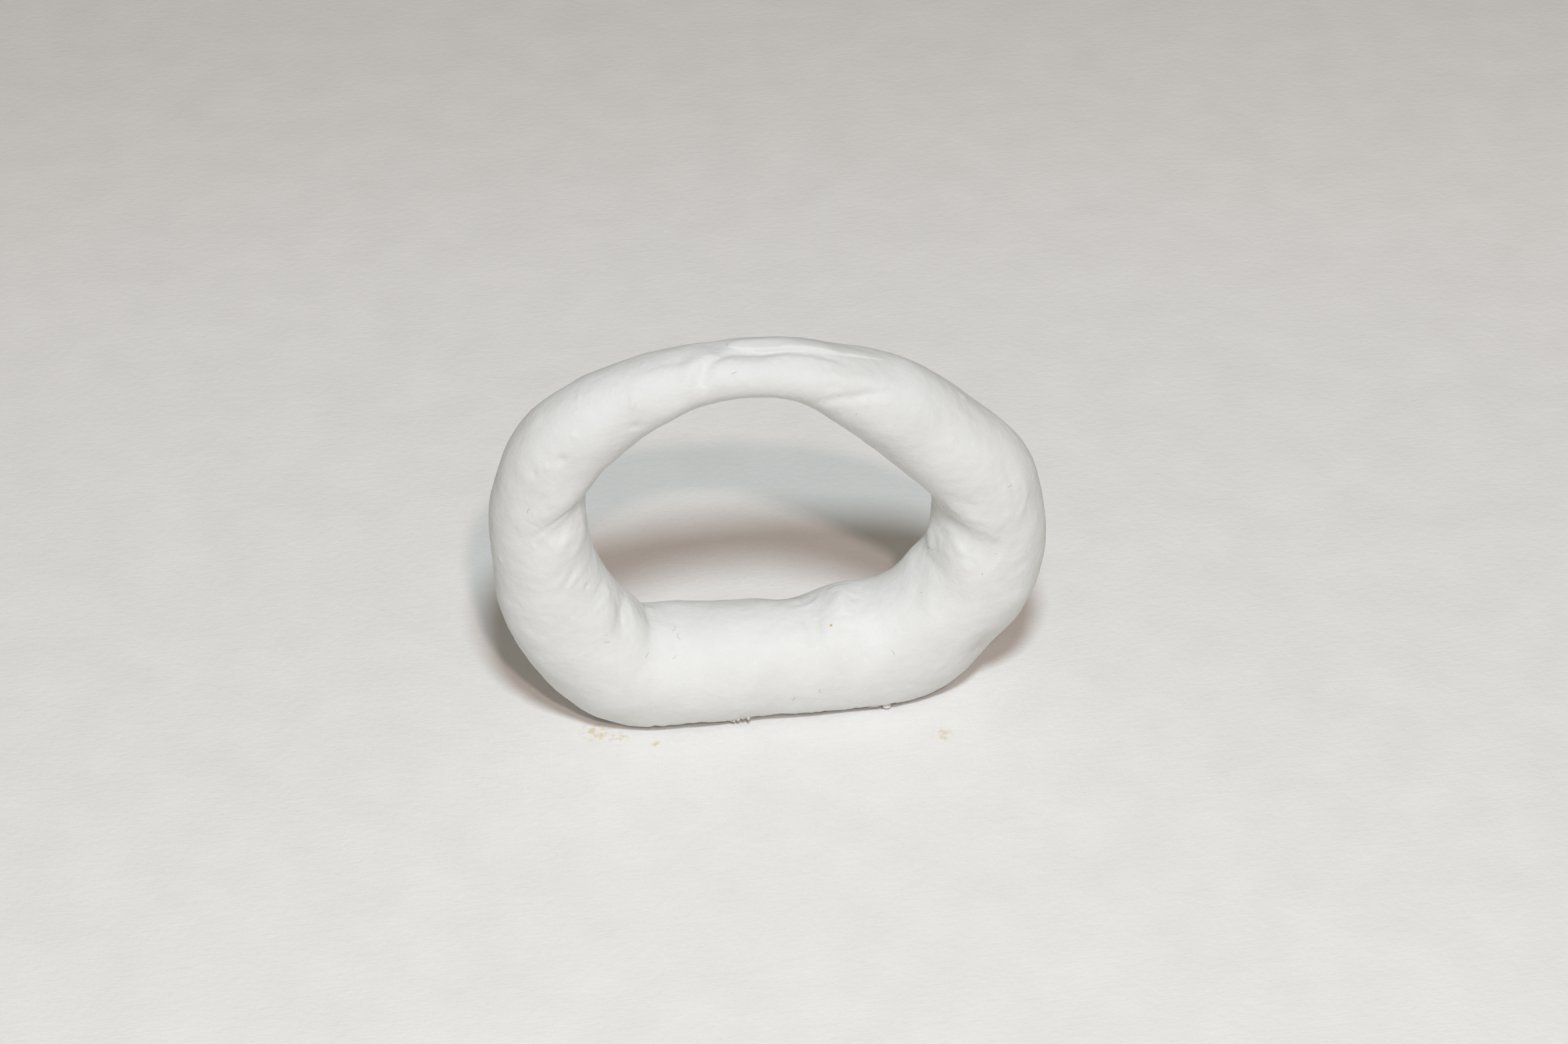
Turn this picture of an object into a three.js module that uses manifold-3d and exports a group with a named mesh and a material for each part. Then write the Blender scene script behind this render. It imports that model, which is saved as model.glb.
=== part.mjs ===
// A rough ring of white plaster, squeezed and lapped by hand from lumps and a rolled strand.
// It stands upright on the flattened underside of its thick bottom bar.
//
// Millimetres, +Z up. The ring lies in the XZ plane with its front towards -Y, rests on z = 0,
// and is centred over the origin. Lumps that were pressed together are separate solids that meet
// at their fold lines with a hairline gap.

import * as THREE from 'three';
import { mergeVertices } from 'three/addons/utils/BufferGeometryUtils.js';
import Module from 'manifold-3d';

const wasm = await Module();
wasm.setup();

// Driving dimensions.
const RING_WIDTH = 70;
const RING_HEIGHT = 54.2;
const BAR_THICKNESS = 15.6;
const JOIN_GAP = 0.4;
const SEAT_GAP = 0.3;
const FOLD_DEPTH = 0.35;
const FOLD_ROLL = 0.25;

// Stations round the centreline, as fractions: across and up are of the ring's width and height,
// thick and deep are of the bar's thickness. Each lump starts at its first station, where it is
// pressed against the lump before it, and slant leans that fold along the strand.
const LUMPS = [
  {
    name: 'base_bar', slant: 0.15, color: 0xf1eee8,
    stations: [
      { across: -0.260, up: 0.118, thick: 1.00, deep: 0.99 },
      { across: -0.080, up: 0.094, thick: 0.97, deep: 1.00 },
    ],
  },
  {
    name: 'right_heel', slant: 0, color: 0xf3f0ea,
    stations: [
      { across: 0.095, up: 0.099, thick: 1.02, deep: 1.01 },
      { across: 0.200, up: 0.104, thick: 1.05, deep: 1.01 },
    ],
  },
  {
    name: 'right_lower_arm', slant: -0.45, color: 0xf0ede7,
    stations: [
      { across: 0.280, up: 0.153, thick: 1.05, deep: 0.99 },
      { across: 0.360, up: 0.263, thick: 0.98, deep: 0.94 },
    ],
  },
  {
    name: 'right_shoulder', slant: -0.6, color: 0xf2efe9,
    stations: [
      { across: 0.394, up: 0.419, thick: 0.95, deep: 0.91 },
      { across: 0.380, up: 0.559, thick: 0.85, deep: 0.87 },
      { across: 0.312, up: 0.686, thick: 0.79, deep: 0.82 },
    ],
  },
  {
    name: 'top_bridge', slant: -0.6, color: 0xf4f1ec,
    stations: [
      { across: 0.170, up: 0.849, thick: 0.66, deep: 0.74 },
      { across: 0.090, up: 0.899, thick: 0.47, deep: 0.64 },
      { across: 0.000, up: 0.932, thick: 0.40, deep: 0.58 },
    ],
  },
  {
    name: 'left_upper_arm', slant: 0, color: 0xf1eee9,
    stations: [
      { across: -0.118, up: 0.930, thick: 0.41, deep: 0.56 },
      { across: -0.240, up: 0.885, thick: 0.59, deep: 0.62 },
      { across: -0.360, up: 0.778, thick: 0.75, deep: 0.71 },
      { across: -0.410, up: 0.651, thick: 0.73, deep: 0.73 },
    ],
  },
  {
    name: 'left_lower_arm', slant: 0.7, color: 0xefece6,
    stations: [
      { across: -0.417, up: 0.548, thick: 0.77, deep: 0.78 },
      { across: -0.400, up: 0.377, thick: 0.88, deep: 0.87 },
      { across: -0.337, up: 0.211, thick: 0.98, deep: 0.96 },
    ],
  },
];

// Sweep resolution, and how far the section is from round (2) towards square.
const SECTION_SIDES = 20;
const STEP_LENGTH = 2.2;
const FEWEST_STEPS = 4;
const SECTION_SQUARENESS = 2.1;

// Thumb groove pressed into the top front of the bridge.
const GROOVE = { length: 15.5, depth: 7.2, height: 4.0, across: -0.02, front: 1.2, sink: 1.0 };

// Thin lip of the lapped strand, standing up along the back of the groove. Its start and end are
// in stations from the bridge's join; out and back are fractions of the strand's half sizes.
const LIP = {
  start: 0.45, end: 2.7, half: 1.05, thin: 0.85, out: 0.22, back: 0.8, tip: 0.35, fullness: 0.7,
  steps: 10, sides: 10,
};

// Bead of plaster squeezed out at the bottom left inner corner.
const BEAD = { radius: 1.2, flatness: 0.8, across: -0.256, front: 2.6, up: 0.297 };

// Flash torn along the front edge of the flat base, and two loose bits of it. Its start and end
// are in stations, and the torn edge is the sum of long and short scallops.
const FLASH = {
  start: 0.05, end: 3.3, front: 6.72, height: 0.2, narrowest: 0.3, width: 0.4, thin: 0.35,
  torn: 0.25, longScallop: 9, shortScallop: 31, fullness: 0.4, steps: 28,
};
const TOOTH = { across: 0.198, front: 7.45, width: 0.9, height: 0.9, thick: 0.4 };
const CURL = { across: 0.252, front: 6.85, radius: 0.8, thick: 0.4, width: 0.8, lift: 0.3, sweep: 1.3 };

const plaster = (color, roughness = 0.92) => (
  new THREE.MeshStandardMaterial({ color, roughness, metalness: 0 })
);

// The centreline and its half sizes, both smooth closed curves through the same stations.
const stations = LUMPS.flatMap((lump) => lump.stations);
const centreline = new THREE.CatmullRomCurve3(
  stations.map((s) => new THREE.Vector3(s.across * RING_WIDTH, 0, s.up * RING_HEIGHT)),
  true,
);
const halfSizes = new THREE.CatmullRomCurve3(
  stations.map((s) => new THREE.Vector3(s.thick, s.deep, 0).multiplyScalar(BAR_THICKNESS / 2)),
  true,
);

// Joins as station numbers, with the first repeated one turn later.
const joins = [];
let firstStation = 0;
for (const lump of LUMPS) {
  joins.push({ at: firstStation, slant: lump.slant });
  firstStation += lump.stations.length;
}
joins.push({ at: firstStation, slant: LUMPS[0].slant });

const turn = (at) => (((at / stations.length) % 1) + 1) % 1;

function slantAt(at) {
  const next = Math.max(1, joins.findIndex((join) => join.at >= at));
  const before = joins[next - 1];
  const after = joins[next];
  return THREE.MathUtils.mapLinear(at, before.at, after.at, before.slant, after.slant);
}

// Position, direction along the strand, direction out of the ring, and half sizes at a station.
function frameAt(at) {
  const centre = centreline.getPoint(turn(at));
  const along = centreline.getTangent(turn(at));
  const out = new THREE.Vector3(along.z, 0, -along.x);
  const half = halfSizes.getPoint(turn(at));
  return { centre, along, out, thick: half.x, deep: half.y, slant: slantAt(at) };
}

// How many millimetres of centreline one station step covers here.
function stretchAt(at) {
  const small = 0.01;
  const before = centreline.getPoint(turn(at - small));
  const after = centreline.getPoint(turn(at + small));
  return before.distanceTo(after) / (2 * small);
}

// A point on a rounded-square section: angle 0 is out of the ring, a quarter turn is its front.
function sectionPoint(frame, angle, shrink) {
  const power = 2 / SECTION_SQUARENESS;
  const rounded = (value) => Math.sign(value) * Math.abs(value) ** power;
  const outward = rounded(Math.cos(angle)) * (frame.thick - shrink);
  const forward = rounded(Math.sin(angle)) * (frame.deep - shrink);
  return frame.centre.clone()
    .addScaledVector(frame.out, outward)
    .addScaledVector(frame.along, outward * frame.slant)
    .add(new THREE.Vector3(0, -forward, 0));
}

// A closed solid from rings of points, capped at both ends.
function loft(rings) {
  const sides = rings[0].length;
  const points = rings.flat();
  const faces = [];
  for (let ring = 0; ring < rings.length - 1; ring += 1) {
    for (let side = 0; side < sides; side += 1) {
      const a = ring * sides + side;
      const b = ring * sides + ((side + 1) % sides);
      faces.push(a, b + sides, b, a, a + sides, b + sides);
    }
  }
  const last = (rings.length - 1) * sides;
  for (let side = 1; side < sides - 1; side += 1) {
    faces.push(0, side, side + 1);
    faces.push(last, last + side + 1, last + side);
  }
  const geometry = new THREE.BufferGeometry().setFromPoints(points);
  geometry.setIndex(faces);
  return geometry;
}

function toSolid(geometry) {
  const bare = geometry.clone();
  bare.deleteAttribute('normal');
  bare.deleteAttribute('uv');
  const merged = mergeVertices(bare);
  return new wasm.Manifold(new wasm.Mesh({
    numProp: 3,
    vertProperties: Float32Array.from(merged.attributes.position.array),
    triVerts: Uint32Array.from(merged.index.array),
  }));
}

function toGeometry(solid) {
  const mesh = solid.getMesh();
  const geometry = new THREE.BufferGeometry();
  geometry.setAttribute('position', new THREE.BufferAttribute(mesh.vertProperties, 3));
  geometry.setIndex(new THREE.BufferAttribute(mesh.triVerts, 1));
  geometry.computeVertexNormals();
  return geometry;
}

// One lump, swept from its own join to the next, with its ends rolled over into the fold.
function lumpSolid(start, end) {
  const from = start + JOIN_GAP / 2 / stretchAt(start);
  const to = end - JOIN_GAP / 2 / stretchAt(end);
  const length = stretchAt((from + to) / 2) * (to - from);
  const steps = Math.max(FEWEST_STEPS, Math.round(length / STEP_LENGTH));
  const places = [{ part: 0, shrink: FOLD_DEPTH }];
  for (let step = FOLD_ROLL; step < steps; step += 1) {
    places.push({ part: Math.min(step, steps - FOLD_ROLL) / steps, shrink: 0 });
  }
  places.push({ part: 1 - FOLD_ROLL / steps, shrink: 0 });
  places.push({ part: 1, shrink: FOLD_DEPTH });
  const rings = places.map(({ part, shrink }) => {
    const frame = frameAt(THREE.MathUtils.lerp(from, to, part));
    return Array.from({ length: SECTION_SIDES }, (_, side) => (
      sectionPoint(frame, (2 * Math.PI * side) / SECTION_SIDES, shrink)
    ));
  });
  return toSolid(loft(rings));
}

function ellipsoidSolid(radii, centre) {
  const geometry = new THREE.SphereGeometry(1, 20, 12);
  geometry.scale(radii.x, radii.y, radii.z);
  geometry.translate(centre.x, centre.y, centre.z);
  return toSolid(geometry);
}

// Everything under the surface that the ring rests on.
function groundSolid() {
  const depth = 10;
  const block = new THREE.BoxGeometry(2 * RING_WIDTH, RING_WIDTH, depth);
  block.translate(0, 0, -depth / 2);
  return toSolid(block);
}

function grooveSolid() {
  const radii = new THREE.Vector3(GROOVE.length / 2, GROOVE.depth / 2, GROOVE.height / 2);
  const centre = new THREE.Vector3(
    GROOVE.across * RING_WIDTH,
    -GROOVE.front,
    RING_HEIGHT + GROOVE.height / 2 - GROOVE.sink,
  );
  return ellipsoidSolid(radii, centre);
}

// The lip follows the back of the bridge and tapers to both ends.
function lipSolid(grow) {
  const bridge = joins[LUMPS.findIndex((lump) => lump.name === 'top_bridge')].at;
  const { steps, sides } = LIP;
  const rings = [];
  for (let step = 0; step <= steps; step += 1) {
    const part = step / steps;
    const frame = frameAt(THREE.MathUtils.lerp(bridge + LIP.start, bridge + LIP.end, part));
    const swell = LIP.tip + (1 - LIP.tip) * Math.sin(Math.PI * part) ** LIP.fullness;
    const centre = frame.centre.clone()
      .addScaledVector(frame.out, LIP.out * frame.thick)
      .add(new THREE.Vector3(0, LIP.back * frame.deep, 0));
    rings.push(Array.from({ length: sides }, (_, side) => {
      const angle = (2 * Math.PI * side) / sides;
      return centre.clone()
        .addScaledVector(frame.out, Math.cos(angle) * (LIP.half * swell + grow))
        .add(new THREE.Vector3(0, -Math.sin(angle) * (LIP.thin * swell + grow), 0));
    }));
  }
  rings[0].forEach((point) => point.x += grow);
  rings[steps].forEach((point) => point.x -= grow);
  return toSolid(loft(rings));
}

function beadSolid(grow) {
  const radius = BEAD.radius + grow;
  const centre = new THREE.Vector3(
    BEAD.across * RING_WIDTH,
    -BEAD.front,
    BEAD.up * RING_HEIGHT,
  );
  return ellipsoidSolid(new THREE.Vector3(radius, radius * BEAD.flatness, radius), centre);
}

// A thin blade along the front of the base, its outer edge torn into shallow scallops.
function flashGeometry() {
  const rings = [];
  for (let step = 0; step <= FLASH.steps; step += 1) {
    const part = step / FLASH.steps;
    const frame = frameAt(THREE.MathUtils.lerp(FLASH.start, FLASH.end, part));
    const fade = Math.max(0, Math.sin(Math.PI * part)) ** FLASH.fullness;
    const scallops = Math.sin(FLASH.longScallop * part) + Math.sin(FLASH.shortScallop * part);
    const wide = FLASH.width - FLASH.narrowest + (FLASH.torn * scallops) / 2;
    const width = FLASH.narrowest + fade * wide;
    const corner = (forward, height) => (
      new THREE.Vector3(frame.centre.x, -FLASH.front - forward, FLASH.height + height)
    );
    rings.push([
      corner(0, 0),
      corner(width, 0),
      corner(width, FLASH.thin / 2),
      corner(0, FLASH.thin),
    ]);
  }
  return loft(rings);
}

function toothGeometry() {
  const outline = new THREE.Shape();
  outline.moveTo(-TOOTH.width / 2, 0);
  outline.lineTo(TOOTH.width / 2, 0);
  outline.lineTo(TOOTH.width * 0.2, TOOTH.height);
  outline.lineTo(-TOOTH.width * 0.3, TOOTH.height * 0.8);
  outline.closePath();
  const geometry = new THREE.ExtrudeGeometry(outline, { depth: TOOTH.thick, bevelEnabled: false });
  geometry.rotateX(Math.PI / 2);
  geometry.translate(TOOTH.across * RING_WIDTH, -TOOTH.front, 0);
  return geometry;
}

function curlGeometry() {
  const outline = new THREE.Shape();
  const inner = CURL.radius - CURL.thick;
  outline.absarc(0, 0, CURL.radius, 0, Math.PI * CURL.sweep, false);
  outline.absarc(0, 0, inner, Math.PI * CURL.sweep, 0, true);
  outline.closePath();
  const options = { depth: CURL.width, bevelEnabled: false, curveSegments: 8 };
  const geometry = new THREE.ExtrudeGeometry(outline, options);
  geometry.rotateX(Math.PI / 2);
  geometry.translate(CURL.across * RING_WIDTH, -CURL.front, CURL.radius + CURL.lift);
  return geometry;
}

function addPiece(group, name, geometry, material) {
  const mesh = new THREE.Mesh(geometry, material);
  mesh.name = name;
  group.add(mesh);
}

const ring = new THREE.Group();
const ground = groundSolid();
const cutters = [ground, beadSolid(SEAT_GAP)];

LUMPS.forEach((lump, index) => {
  let solid = lumpSolid(joins[index].at, joins[index + 1].at);
  for (const cutter of cutters) {
    solid = solid.subtract(cutter);
  }
  if (lump.name === 'top_bridge') {
    solid = solid.subtract(grooveSolid()).subtract(lipSolid(SEAT_GAP));
  }
  addPiece(ring, lump.name, toGeometry(solid), plaster(lump.color));
});

addPiece(ring, 'top_lap_lip', toGeometry(lipSolid(0)), plaster(0xf4f2ee, 0.85));
addPiece(ring, 'corner_bead', toGeometry(beadSolid(0)), plaster(0xf6f4f0));
addPiece(ring, 'base_flash_lip', flashGeometry(), plaster(0xebe5da));
addPiece(ring, 'flash_tooth', toothGeometry(), plaster(0xefe9dc));
addPiece(ring, 'flash_curl', curlGeometry(), plaster(0xe6d9bd));

export default ring;
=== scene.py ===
"""Looks for a rough ring of white plaster, squeezed and lapped by hand, on a pale cloth.

The ring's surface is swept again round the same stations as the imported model, at a fine step,
then dented, creased and torn in mesh code. It is cut at the model's own fold lines into one
closed piece for each lump. Lengths are millimetres until a mesh is made, and +Z is up.
"""

import math

import bpy
import numpy as np
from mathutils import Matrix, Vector


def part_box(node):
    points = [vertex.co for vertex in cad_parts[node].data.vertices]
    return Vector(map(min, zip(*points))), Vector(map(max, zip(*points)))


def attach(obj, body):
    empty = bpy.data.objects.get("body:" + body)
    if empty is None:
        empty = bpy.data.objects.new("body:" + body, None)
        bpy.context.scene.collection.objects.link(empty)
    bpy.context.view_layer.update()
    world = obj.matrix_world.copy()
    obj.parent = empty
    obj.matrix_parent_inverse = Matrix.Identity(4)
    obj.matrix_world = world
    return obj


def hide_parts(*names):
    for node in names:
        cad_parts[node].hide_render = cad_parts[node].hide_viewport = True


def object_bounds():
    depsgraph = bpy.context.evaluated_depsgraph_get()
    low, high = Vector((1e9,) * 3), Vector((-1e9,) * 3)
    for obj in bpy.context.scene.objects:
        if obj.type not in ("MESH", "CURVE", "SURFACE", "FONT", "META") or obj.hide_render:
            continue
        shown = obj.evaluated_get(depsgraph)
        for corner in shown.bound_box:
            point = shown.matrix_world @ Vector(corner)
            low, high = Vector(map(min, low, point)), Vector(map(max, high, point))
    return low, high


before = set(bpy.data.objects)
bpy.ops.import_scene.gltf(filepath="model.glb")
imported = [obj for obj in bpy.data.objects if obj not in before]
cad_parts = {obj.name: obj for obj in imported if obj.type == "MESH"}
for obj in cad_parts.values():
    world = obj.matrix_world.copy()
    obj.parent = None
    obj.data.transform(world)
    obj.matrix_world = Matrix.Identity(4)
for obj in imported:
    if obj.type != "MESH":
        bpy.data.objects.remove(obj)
cad_low, cad_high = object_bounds()

MM = 0.001

# The ring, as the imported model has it: sizes in millimetres, and for each lump its name, its
# material slot, the slant of its first fold, and its stations as fractions. Across and up are of
# the ring's width and height, thick and deep of the bar's thickness.
RING_WIDTH = 70.0
RING_HEIGHT = 54.2
BAR_THICKNESS = 15.6
SQUARENESS = 2.1
LUMPS = [
    ("base_bar", "plaster_bar", 0.15,
     [(-0.260, 0.118, 1.00, 0.99), (-0.080, 0.094, 0.97, 1.00)]),
    ("right_heel", "plaster_heel", 0.0,
     [(0.095, 0.099, 1.02, 1.01), (0.200, 0.104, 1.05, 1.01)]),
    ("right_lower_arm", "plaster_right_arm", -0.45,
     [(0.280, 0.153, 1.05, 0.99), (0.360, 0.263, 0.98, 0.94)]),
    ("right_shoulder", "plaster_shoulder", -0.6,
     [(0.394, 0.419, 0.95, 0.91), (0.380, 0.559, 0.85, 0.87), (0.312, 0.686, 0.79, 0.82)]),
    ("top_bridge", "plaster_bridge", -0.6,
     [(0.170, 0.849, 0.66, 0.74), (0.090, 0.899, 0.47, 0.64), (0.000, 0.932, 0.40, 0.58)]),
    ("left_upper_arm", "plaster_left_arm", 0.0,
     [(-0.118, 0.930, 0.41, 0.56), (-0.240, 0.885, 0.59, 0.62),
      (-0.360, 0.778, 0.75, 0.71), (-0.410, 0.651, 0.73, 0.73)]),
    ("left_lower_arm", "plaster_left_arm", 0.7,
     [(-0.417, 0.548, 0.77, 0.78), (-0.400, 0.377, 0.88, 0.87), (-0.337, 0.211, 0.98, 0.96)]),
]

# Fineness of the swept surface, and how far it is faired along the strand.
STEP = 0.22
COLUMNS = 240
FAIRING = 1.3

# The flat base: how high its torn rim is lifted, and how far in the lift reaches.
RIM_LIFT = 1.05
RIM_REACH = 2.2
RIM_SHARE = 0.125
RIM_NARROWEST = 0.2
RIM_OPENING = 0.1

# How the rim's lift is torn: share and wavelength of each layer, and the least and most of it.
RIM_TEARS = [(0.5, 2.6), (0.25, 0.9)]
RIM_TEAR_LIMITS = (0.3, 1.7)

# The thumb groove in the top: length, depth and height of its hollow, and its middle. Its edge is
# softened, settled by a share of that softness, and blended in over the hollow's outer part.
GROOVE_SIZE = (15.5, 7.2, 4.0)
GROOVE_MIDDLE = (-1.4, -1.2, 55.2)
GROOVE_SOFTNESS = 0.35
GROOVE_SETTLE = 0.1
GROOVE_STEEPNESS = 5

# The lapped lip: its height, how deep it is rooted, the stretch of the ring that it covers, and
# its front and back edges.
LIP_HEIGHT = 0.42
LIP_ROOT = 0.30
LIP_SPAN = (-5.4, 10.5)
LIP_BACK = 3.4
LIP_FRONT = [(-7.6, -0.9), (-4.7, -0.7), (-1.6, -0.9), (2.8, -1.2), (6.6, -1.6), (11.5, -2.6)]

# The lip's section: the points across it, the shares of its width over which it rises at the
# front and past which it falls away, and how far its edges are sunk in. Towards its two ends it
# thins, and narrows to LIP_NARROWEST of its width, along a sine that the powers LIP_LEAN and
# LIP_FULLNESS shape. LIP_WAVE is its unevenness, as share and wavelength.
LIP_POINTS = 44
LIP_RISE = 0.16
LIP_CREST = 0.3
LIP_SINK = 0.04
LIP_NARROWEST = 0.25
LIP_LEAN = 0.75
LIP_FULLNESS = 0.9
LIP_WAVE = (0.25, 2.6)

# Hand-formed unevenness: height and wavelength of each layer.
SWELLS = [(0.26, 11.0), (0.13, 5.0), (0.05, 2.1)]
GRAIN = [(0.016, 0.9), (0.009, 0.45)]

# Every mark's profile: how many half widths it reaches, the square of its share of height at its
# ends, its unevenness as share and wavelength, the share of a wider mark that is taken away to
# leave soft shoulders, and its gain.
MARK_REACH = 5
MARK_END = 0.06
MARK_WOBBLE = (0.3, 1.7)
MARK_SHOULDER = 0.35
MARK_GAIN = 1.4

# Marks pressed into the plaster or left standing on it. Each has a height, with creases below
# zero, a half width, and the points that it runs through.
MARKS = {
    "lip crease": (-0.22, 0.60, [(-6.5, -1.6, 53.6), (-4.7, -0.6, 53.5), (-1.6, -0.8, 53.2),
                                 (2.8, -1.1, 53.1), (6.6, -1.5, 52.1), (8.5, -1.9, 51.4)]),
    "tucked end": (-0.32, 0.90, [(-9.3, -4.2, 51.4), (-9.0, -3.3, 52.3), (-7.7, -2.0, 53.2),
                                 (-6.5, -1.6, 53.6)]),
    "tucked edge": (0.22, 1.20, [(-11.0, -4.0, 51.6), (-10.6, -2.9, 52.6), (-9.2, -1.2, 53.2)]),
    "left facet": (0.10, 0.80, [(-16.4, -2.2, 52.1), (-12.9, -2.0, 52.8), (-9.6, -2.2, 52.9)]),
    "wedge": (-0.22, 0.70, [(4.9, -4.7, 48.2), (7.8, -5.1, 48.5), (11.0, -5.1, 48.6),
                            (15.1, -4.0, 47.9)]),
    "wedge back": (0.24, 1.10, [(6.0, -3.4, 50.8), (8.5, -4.0, 50.3), (13.0, -3.4, 49.6)]),
    "shoulder fold": (-0.07, 0.90, [(23.1, -0.3, 44.1), (23.5, -2.0, 43.4), (25.5, -2.3, 41.6)]),
    "right corner hollow": (-0.66, 2.90, [(20.6, -2.0, 28.6), (22.4, -4.8, 26.9),
                                          (25.2, -6.5, 25.0), (28.2, -7.0, 23.0)]),
    "right corner roll": (0.34, 1.80, [(20.4, -2.3, 31.2), (22.6, -5.1, 30.0),
                                       (25.6, -6.8, 28.0), (28.0, -7.0, 26.6)]),
    "pinched ridge": (0.40, 1.50, [(20.4, 0.2, 27.2), (20.3, 0.6, 25.0), (20.2, 0.0, 22.8),
                                   (20.6, -1.6, 21.2)]),
    "arm streak": (0.10, 0.55, [(30.9, -4.4, 33.0), (31.1, -5.3, 30.5), (30.3, -6.1, 28.6)]),
    "arm streak inner": (-0.07, 0.50, [(28.4, -5.6, 36.2), (29.6, -5.9, 33.4),
                                       (29.7, -6.4, 30.6)]),
    "left corner hollow": (-0.48, 2.10, [(-24.0, -3.4, 34.6), (-26.2, -5.2, 33.2),
                                         (-28.6, -6.0, 31.6)]),
    "left corner crease": (-0.07, 0.40, [(-24.1, -3.6, 36.2), (-25.4, -4.8, 35.4),
                                         (-26.8, -5.4, 34.7), (-29.1, -5.8, 33.2),
                                         (-30.6, -5.6, 32.0)]),
    "left corner roll": (0.26, 1.60, [(-24.8, -4.4, 37.6), (-27.6, -5.6, 36.4),
                                      (-30.4, -5.7, 34.2)]),
    "fan 1": (0.09, 0.80, [(-25.3, -4.6, 33.8), (-26.2, -5.0, 31.6), (-27.6, -5.9, 29.9)]),
    "fan 1 groove": (-0.05, 0.50, [(-26.6, -5.3, 32.4), (-27.6, -5.8, 30.6)]),
    "fan 2": (0.08, 0.70, [(-23.5, -2.6, 31.2), (-24.6, -4.2, 29.6), (-25.6, -5.4, 28.2)]),
    "fan 3": (0.10, 0.70, [(-22.9, -1.4, 29.4), (-22.4, -0.7, 25.6), (-22.5, -2.5, 24.0)]),
    "fan 4": (0.09, 0.65, [(-24.1, -4.6, 26.2), (-25.6, -5.7, 25.2), (-26.6, -6.2, 24.2)]),
    "fan 4 groove": (-0.08, 0.50, [(-25.0, -5.2, 27.2), (-26.3, -6.0, 25.2),
                                   (-27.6, -6.4, 23.8)]),
    "fan 5": (0.06, 0.60, [(-26.4, -5.8, 27.2), (-28.0, -6.4, 24.4)]),
    "fan 6": (0.09, 0.60, [(-20.6, -2.2, 21.0), (-22.0, -4.4, 20.2), (-23.4, -6.0, 19.6)]),
    "fan 6 groove": (-0.06, 0.50, [(-21.4, -2.6, 22.4), (-23.2, -4.9, 21.6)]),
    "bar corner hollow": (-0.45, 1.60, [(-19.0, -0.8, 18.2), (-19.6, -4.0, 17.2),
                                        (-19.4, -5.6, 15.0)]),
    "bar corner crease": (-0.05, 0.40, [(-18.7, 1.4, 17.3), (-19.2, -1.6, 18.0),
                                        (-19.6, -4.3, 16.9), (-18.9, -5.4, 14.4)]),
    "bar corner spur": (0.22, 0.90, [(-18.2, 1.4, 16.4), (-16.6, 2.0, 14.6), (-14.5, 2.4, 13.2)]),
    "heel step": (-0.45, 1.40, [(5.2, 3.5, 12.4), (4.9, 1.2, 12.8), (4.6, -1.6, 13.0),
                                (4.9, -3.9, 12.2), (4.8, -6.0, 10.4)]),
    "heel shoulder": (0.70, 1.60, [(9.2, 3.2, 13.2), (9.0, 0.4, 13.6), (8.8, -3.0, 13.2)]),
    "bar fold": (0.10, 0.50, [(6.2, 1.5, 12.9), (4.2, 0.1, 13.1), (2.5, -0.3, 13.0)]),
    "heel crease": (-0.14, 1.30, [(18.3, -1.6, 17.6), (18.3, -3.4, 16.6), (17.7, -5.2, 14.4)]),
    "upper ridge 1": (0.07, 0.35, [(-23.8, -0.7, 49.9), (-23.6, -1.5, 49.8),
                                    (-23.9, -2.3, 49.3)]),
    "upper ridge 2": (0.15, 0.36, [(-17.7, -3.2, 51.1), (-17.4, -4.0, 50.4),
                                    (-17.6, -4.6, 49.4)]),
    "inner edge fold": (-0.10, 0.50, [(-18.1, -4.9, 47.1), (-16.8, -4.7, 46.8)]),
}

# Round dents and bumps: height, half width and place.
SPOTS = [
    (-0.95, 2.8, (26.9, -5.5, 8.2)),
    (0.35, 3.0, (30.6, -5.2, 15.2)),
    (-0.45, 1.7, (-6.4, 1.2, 53.8)),
    (0.45, 3.4, (-12.2, 4.4, 11.8)),
    (-1.05, 3.0, (2.6, 4.8, 11.4)),
    (0.60, 3.4, (10.6, 4.4, 12.2)),
    (0.45, 4.0, (19.1, -0.3, 47.6)),
    (0.40, 5.0, (32.7, 0.0, 34.0)),
    (0.55, 3.0, (18.6, 2.4, 18.0)),
    (0.45, 2.4, (20.4, 0.4, 21.4)),
    (0.50, 2.6, (-13.2, -4.6, 47.6)),
    (-0.16, 0.30, (-23.9, -5.0, 23.5)),
    (-0.14, 0.55, (-29.7, -4.7, 41.3)),
    (-0.20, 0.65, (-26.6, -5.3, 43.2)),
    (0.12, 0.40, (-28.1, -5.1, 42.3)),
    (0.12, 0.45, (-24.7, -4.6, 46.3)),
    (0.10, 0.35, (-34.2, -3.2, 27.7)),
    (0.10, 0.35, (-30.4, -5.8, 31.0)),
    (-0.12, 0.25, (-2.6, -3.7, 52.4)),
    (-0.10, 0.25, (-5.4, -3.8, 52.2)),
    (0.16, 0.60, (24.6, 0.0, 44.0)),
    (-0.10, 0.60, (11.0, -6.6, 9.0)),
]


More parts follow.
